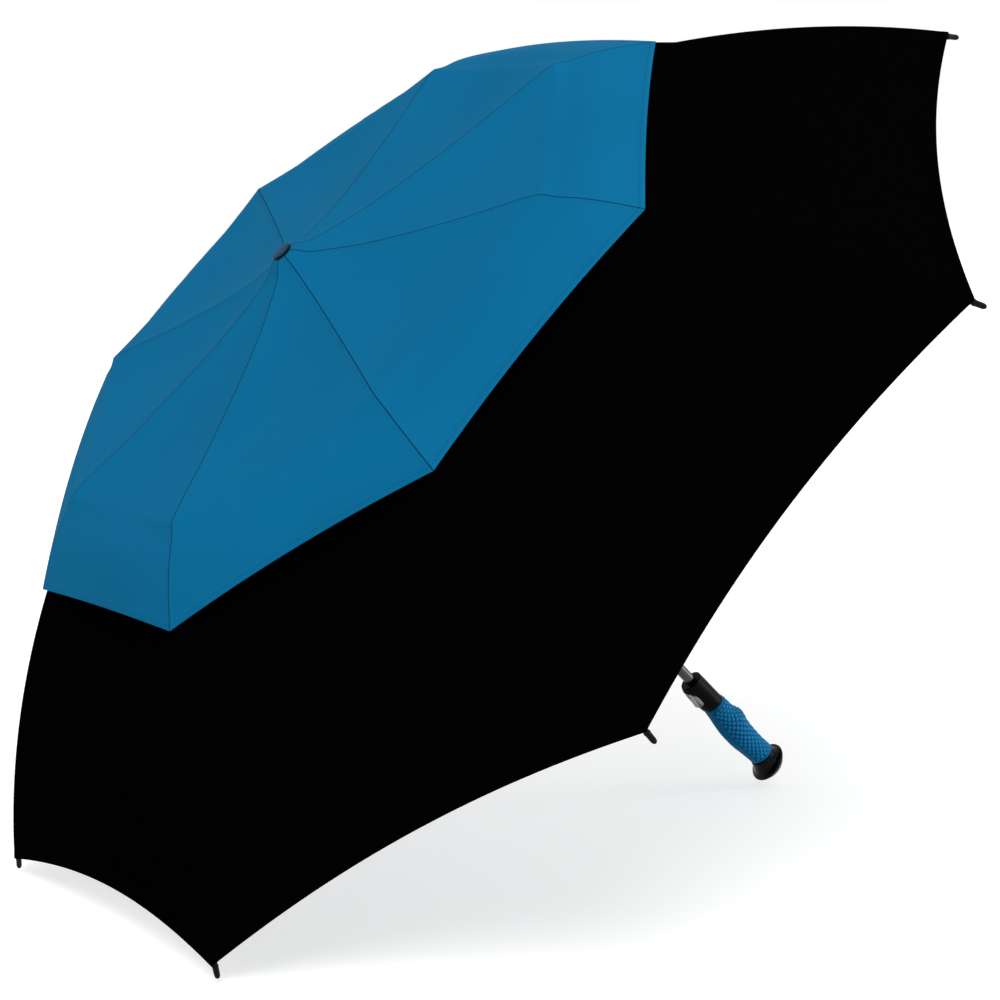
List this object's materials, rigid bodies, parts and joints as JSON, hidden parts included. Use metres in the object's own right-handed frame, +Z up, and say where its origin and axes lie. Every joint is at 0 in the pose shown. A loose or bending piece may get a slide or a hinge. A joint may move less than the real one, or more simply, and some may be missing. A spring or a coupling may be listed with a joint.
{
  "type": "golf umbrella",
  "caption": "Folding golf umbrella with a vented double canopy on jointed steel and fibreglass ribs, a telescoping shaft and a contoured push-button handle.",
  "frame": {"origin": "on the shaft's axis at the middle of the hand grip", "axes": "+Z runs up the shaft from the handle to the crown, +X lies under one rib of the open canopy"},
  "size_m": [1.298, 1.298, 0.8295],
  "materials": {
    "steel": "plated, satin",
    "shaft": "gunmetal plating, polished",
    "fibreglass": "smooth pultruded rod",
    "tips": "satin",
    "black_gloss": "gloss",
    "black_plastic": "satin",
    "grip_rubber": "matt, with raised dots",
    "button_grey": "smoky, semi-gloss",
    "blue_plastic": "satin",
    "blue_cloth": "woven, satin",
    "black_cloth": "woven, matt"
  },
  "bodies": {
    "handle": {"handle_collar": "black_gloss", "handle_grip": "grip_rubber", "handle_core": "black_plastic", "handle_end_cap": "black_gloss", "button_springs": "steel", "lower_tube": "shaft", "tube_bushing": "black_plastic", "opening_spring": "steel"},
    "button": {"release_button": "button_grey", "latch_plate": "steel"},
    "mast": {"upper_tube": "shaft", "tube_plug": "black_plastic", "crown_notch": "black_plastic", "crown_wire": "steel", "crown_cap": "blue_plastic", "cap_canopy": "blue_cloth", "lower_canopy": "black_cloth"},
    "runner": {"runner": "black_plastic", "runner_wire": "steel"},
    "rib_inner_1": {"rib_inner_1": "steel"},
    "rib_middle_1": {"rib_middle_1": "steel"},
    "rib_outer_1": {"rib_outer_1": "fibreglass", "rib_tip_1": "tips"},
    "stretcher_1": {"stretcher_1": "steel"},
    "rib_inner_2": {"rib_inner_2": "steel"},
    "rib_middle_2": {"rib_middle_2": "steel"},
    "rib_outer_2": {"rib_outer_2": "fibreglass", "rib_tip_2": "tips"},
    "stretcher_2": {"stretcher_2": "steel"},
    "rib_inner_3": {"rib_inner_3": "steel"},
    "rib_middle_3": {"rib_middle_3": "steel"},
    "rib_outer_3": {"rib_outer_3": "fibreglass", "rib_tip_3": "tips"},
    "stretcher_3": {"stretcher_3": "steel"},
    "rib_inner_4": {"rib_inner_4": "steel"},
    "rib_middle_4": {"rib_middle_4": "steel"},
    "rib_outer_4": {"rib_outer_4": "fibreglass", "rib_tip_4": "tips"},
    "stretcher_4": {"stretcher_4": "steel"},
    "rib_inner_5": {"rib_inner_5": "steel"},
    "rib_middle_5": {"rib_middle_5": "steel"},
    "rib_outer_5": {"rib_outer_5": "fibreglass", "rib_tip_5": "tips"},
    "stretcher_5": {"stretcher_5": "steel"},
    "rib_inner_6": {"rib_inner_6": "steel"},
    "rib_middle_6": {"rib_middle_6": "steel"},
    "rib_outer_6": {"rib_outer_6": "fibreglass", "rib_tip_6": "tips"},
    "stretcher_6": {"stretcher_6": "steel"},
    "rib_inner_7": {"rib_inner_7": "steel"},
    "rib_middle_7": {"rib_middle_7": "steel"},
    "rib_outer_7": {"rib_outer_7": "fibreglass", "rib_tip_7": "tips"},
    "stretcher_7": {"stretcher_7": "steel"},
    "rib_inner_8": {"rib_inner_8": "steel"},
    "rib_middle_8": {"rib_middle_8": "steel"},
    "rib_outer_8": {"rib_outer_8": "fibreglass", "rib_tip_8": "tips"},
    "stretcher_8": {"stretcher_8": "steel"}
  },
  "joints": [
    {"name": "mast_slide", "type": "slide", "parent": "handle", "child": "mast", "axis": [0, 0, 1], "range_m": [-0.205, 0], "stiffness_N_per_m": 170, "springref_m": 0.15, "deforming": ["opening_spring"]},
    {"name": "fold", "type": "slide", "parent": "mast", "child": "runner", "axis": [0, 0, -1], "range_m": [0, 0.19239], "deforming": ["cap_canopy", "lower_canopy"]},
    {"name": "button_press", "type": "slide", "parent": "handle", "child": "button", "axis": [0.9239, -0.3827, 0], "range_m": [0, 0.0022], "stiffness_N_per_m": 400, "deforming": ["button_springs"]},
    {"name": "crown_hinge_1", "type": "hinge", "parent": "mast", "child": "rib_inner_1", "pos_m": [0.00636, 0.00636, 0.731], "axis": [-0.7071, 0.7071, 0], "range_deg": [0, 81.51]},
    {"name": "knee_hinge_1", "type": "hinge", "parent": "rib_inner_1", "child": "rib_middle_1", "pos_m": [0.11605, 0.11605, 0.71984], "axis": [-0.7071, 0.7071, 0], "range_deg": [-172.01, 0]},
    {"name": "elbow_hinge_1", "type": "hinge", "parent": "rib_middle_1", "child": "rib_outer_1", "pos_m": [0.22529, 0.22529, 0.7015], "axis": [-0.7071, 0.7071, 0], "range_deg": [0, 144.82]},
    {"name": "stretcher_hinge_1", "type": "hinge", "parent": "rib_inner_1", "child": "stretcher_1", "pos_m": [0.09794, 0.09794, 0.71967], "axis": [-0.7071, 0.7071, 0], "range_deg": [-139.07, 0]},
    {"name": "crown_hinge_2", "type": "hinge", "parent": "mast", "child": "rib_inner_2", "pos_m": [0, 0.009, 0.731], "axis": [-1, 0, 0], "range_deg": [0, 81.51]},
    {"name": "knee_hinge_2", "type": "hinge", "parent": "rib_inner_2", "child": "rib_middle_2", "pos_m": [0, 0.16412, 0.71984], "axis": [-1, 0, 0], "range_deg": [-172.01, 0]},
    {"name": "elbow_hinge_2", "type": "hinge", "parent": "rib_middle_2", "child": "rib_outer_2", "pos_m": [0, 0.31861, 0.7015], "axis": [-1, 0, 0], "range_deg": [0, 144.82]},
    {"name": "stretcher_hinge_2", "type": "hinge", "parent": "rib_inner_2", "child": "stretcher_2", "pos_m": [0, 0.1385, 0.71967], "axis": [-1, 0, 0], "range_deg": [-139.07, 0]},
    {"name": "crown_hinge_3", "type": "hinge", "parent": "mast", "child": "rib_inner_3", "pos_m": [-0.00636, 0.00636, 0.731], "axis": [-0.7071, -0.7071, 0], "range_deg": [0, 81.51]},
    {"name": "knee_hinge_3", "type": "hinge", "parent": "rib_inner_3", "child": "rib_middle_3", "pos_m": [-0.11605, 0.11605, 0.71984], "axis": [-0.7071, -0.7071, 0], "range_deg": [-172.01, 0]},
    {"name": "elbow_hinge_3", "type": "hinge", "parent": "rib_middle_3", "child": "rib_outer_3", "pos_m": [-0.22529, 0.22529, 0.7015], "axis": [-0.7071, -0.7071, 0], "range_deg": [0, 144.82]},
    {"name": "stretcher_hinge_3", "type": "hinge", "parent": "rib_inner_3", "child": "stretcher_3", "pos_m": [-0.09794, 0.09794, 0.71967], "axis": [-0.7071, -0.7071, 0], "range_deg": [-139.07, 0]},
    {"name": "crown_hinge_4", "type": "hinge", "parent": "mast", "child": "rib_inner_4", "pos_m": [-0.009, 0, 0.731], "axis": [0, -1, 0], "range_deg": [0, 81.51]},
    {"name": "knee_hinge_4", "type": "hinge", "parent": "rib_inner_4", "child": "rib_middle_4", "pos_m": [-0.16412, 0, 0.71984], "axis": [0, -1, 0], "range_deg": [-172.01, 0]},
    {"name": "elbow_hinge_4", "type": "hinge", "parent": "rib_middle_4", "child": "rib_outer_4", "pos_m": [-0.31861, 0, 0.7015], "axis": [0, -1, 0], "range_deg": [0, 144.82]},
    {"name": "stretcher_hinge_4", "type": "hinge", "parent": "rib_inner_4", "child": "stretcher_4", "pos_m": [-0.1385, 0, 0.71967], "axis": [0, -1, 0], "range_deg": [-139.07, 0]},
    {"name": "crown_hinge_5", "type": "hinge", "parent": "mast", "child": "rib_inner_5", "pos_m": [-0.00636, -0.00636, 0.731], "axis": [0.7071, -0.7071, 0], "range_deg": [0, 81.51]},
    {"name": "knee_hinge_5", "type": "hinge", "parent": "rib_inner_5", "child": "rib_middle_5", "pos_m": [-0.11605, -0.11605, 0.71984], "axis": [0.7071, -0.7071, 0], "range_deg": [-172.01, 0]},
    {"name": "elbow_hinge_5", "type": "hinge", "parent": "rib_middle_5", "child": "rib_outer_5", "pos_m": [-0.22529, -0.22529, 0.7015], "axis": [0.7071, -0.7071, 0], "range_deg": [0, 144.82]},
    {"name": "stretcher_hinge_5", "type": "hinge", "parent": "rib_inner_5", "child": "stretcher_5", "pos_m": [-0.09794, -0.09794, 0.71967], "axis": [0.7071, -0.7071, 0], "range_deg": [-139.07, 0]},
    {"name": "crown_hinge_6", "type": "hinge", "parent": "mast", "child": "rib_inner_6", "pos_m": [0, -0.009, 0.731], "axis": [1, 0, 0], "range_deg": [0, 81.51]},
    {"name": "knee_hinge_6", "type": "hinge", "parent": "rib_inner_6", "child": "rib_middle_6", "pos_m": [0, -0.16412, 0.71984], "axis": [1, 0, 0], "range_deg": [-172.01, 0]},
    {"name": "elbow_hinge_6", "type": "hinge", "parent": "rib_middle_6", "child": "rib_outer_6", "pos_m": [0, -0.31861, 0.7015], "axis": [1, 0, 0], "range_deg": [0, 144.82]},
    {"name": "stretcher_hinge_6", "type": "hinge", "parent": "rib_inner_6", "child": "stretcher_6", "pos_m": [0, -0.1385, 0.71967], "axis": [1, 0, 0], "range_deg": [-139.07, 0]},
    {"name": "crown_hinge_7", "type": "hinge", "parent": "mast", "child": "rib_inner_7", "pos_m": [0.00636, -0.00636, 0.731], "axis": [0.7071, 0.7071, 0], "range_deg": [0, 81.51]},
    {"name": "knee_hinge_7", "type": "hinge", "parent": "rib_inner_7", "child": "rib_middle_7", "pos_m": [0.11605, -0.11605, 0.71984], "axis": [0.7071, 0.7071, 0], "range_deg": [-172.01, 0]},
    {"name": "elbow_hinge_7", "type": "hinge", "parent": "rib_middle_7", "child": "rib_outer_7", "pos_m": [0.22529, -0.22529, 0.7015], "axis": [0.7071, 0.7071, 0], "range_deg": [0, 144.82]},
    {"name": "stretcher_hinge_7", "type": "hinge", "parent": "rib_inner_7", "child": "stretcher_7", "pos_m": [0.09794, -0.09794, 0.71967], "axis": [0.7071, 0.7071, 0], "range_deg": [-139.07, 0]},
    {"name": "crown_hinge_8", "type": "hinge", "parent": "mast", "child": "rib_inner_8", "pos_m": [0.009, 0, 0.731], "axis": [0, 1, 0], "range_deg": [0, 81.51]},
    {"name": "knee_hinge_8", "type": "hinge", "parent": "rib_inner_8", "child": "rib_middle_8", "pos_m": [0.16412, 0, 0.71984], "axis": [0, 1, 0], "range_deg": [-172.01, 0]},
    {"name": "elbow_hinge_8", "type": "hinge", "parent": "rib_middle_8", "child": "rib_outer_8", "pos_m": [0.31861, 0, 0.7015], "axis": [0, 1, 0], "range_deg": [0, 144.82]},
    {"name": "stretcher_hinge_8", "type": "hinge", "parent": "rib_inner_8", "child": "stretcher_8", "pos_m": [0.1385, 0, 0.71967], "axis": [0, 1, 0], "range_deg": [-139.07, 0]}
  ],
  "couplings": [
    {"joint": "crown_hinge_1", "follows": "fold", "rad_per_m": 7.3935},
    {"joint": "knee_hinge_1", "follows": "fold", "rad_per_m": -15.604},
    {"joint": "elbow_hinge_1", "follows": "fold", "rad_per_m": 13.137},
    {"joint": "stretcher_hinge_1", "follows": "fold", "rad_per_m": -12.616},
    {"joint": "crown_hinge_2", "follows": "fold", "rad_per_m": 7.3935},
    {"joint": "knee_hinge_2", "follows": "fold", "rad_per_m": -15.604},
    {"joint": "elbow_hinge_2", "follows": "fold", "rad_per_m": 13.137},
    {"joint": "stretcher_hinge_2", "follows": "fold", "rad_per_m": -12.616},
    {"joint": "crown_hinge_3", "follows": "fold", "rad_per_m": 7.3935},
    {"joint": "knee_hinge_3", "follows": "fold", "rad_per_m": -15.604},
    {"joint": "elbow_hinge_3", "follows": "fold", "rad_per_m": 13.137},
    {"joint": "stretcher_hinge_3", "follows": "fold", "rad_per_m": -12.616},
    {"joint": "crown_hinge_4", "follows": "fold", "rad_per_m": 7.3935},
    {"joint": "knee_hinge_4", "follows": "fold", "rad_per_m": -15.604},
    {"joint": "elbow_hinge_4", "follows": "fold", "rad_per_m": 13.137},
    {"joint": "stretcher_hinge_4", "follows": "fold", "rad_per_m": -12.616},
    {"joint": "crown_hinge_5", "follows": "fold", "rad_per_m": 7.3935},
    {"joint": "knee_hinge_5", "follows": "fold", "rad_per_m": -15.604},
    {"joint": "elbow_hinge_5", "follows": "fold", "rad_per_m": 13.137},
    {"joint": "stretcher_hinge_5", "follows": "fold", "rad_per_m": -12.616},
    {"joint": "crown_hinge_6", "follows": "fold", "rad_per_m": 7.3935},
    {"joint": "knee_hinge_6", "follows": "fold", "rad_per_m": -15.604},
    {"joint": "elbow_hinge_6", "follows": "fold", "rad_per_m": 13.137},
    {"joint": "stretcher_hinge_6", "follows": "fold", "rad_per_m": -12.616},
    {"joint": "crown_hinge_7", "follows": "fold", "rad_per_m": 7.3935},
    {"joint": "knee_hinge_7", "follows": "fold", "rad_per_m": -15.604},
    {"joint": "elbow_hinge_7", "follows": "fold", "rad_per_m": 13.137},
    {"joint": "stretcher_hinge_7", "follows": "fold", "rad_per_m": -12.616},
    {"joint": "crown_hinge_8", "follows": "fold", "rad_per_m": 7.3935},
    {"joint": "knee_hinge_8", "follows": "fold", "rad_per_m": -15.604},
    {"joint": "elbow_hinge_8", "follows": "fold", "rad_per_m": 13.137},
    {"joint": "stretcher_hinge_8", "follows": "fold", "rad_per_m": -12.616}
  ]
}
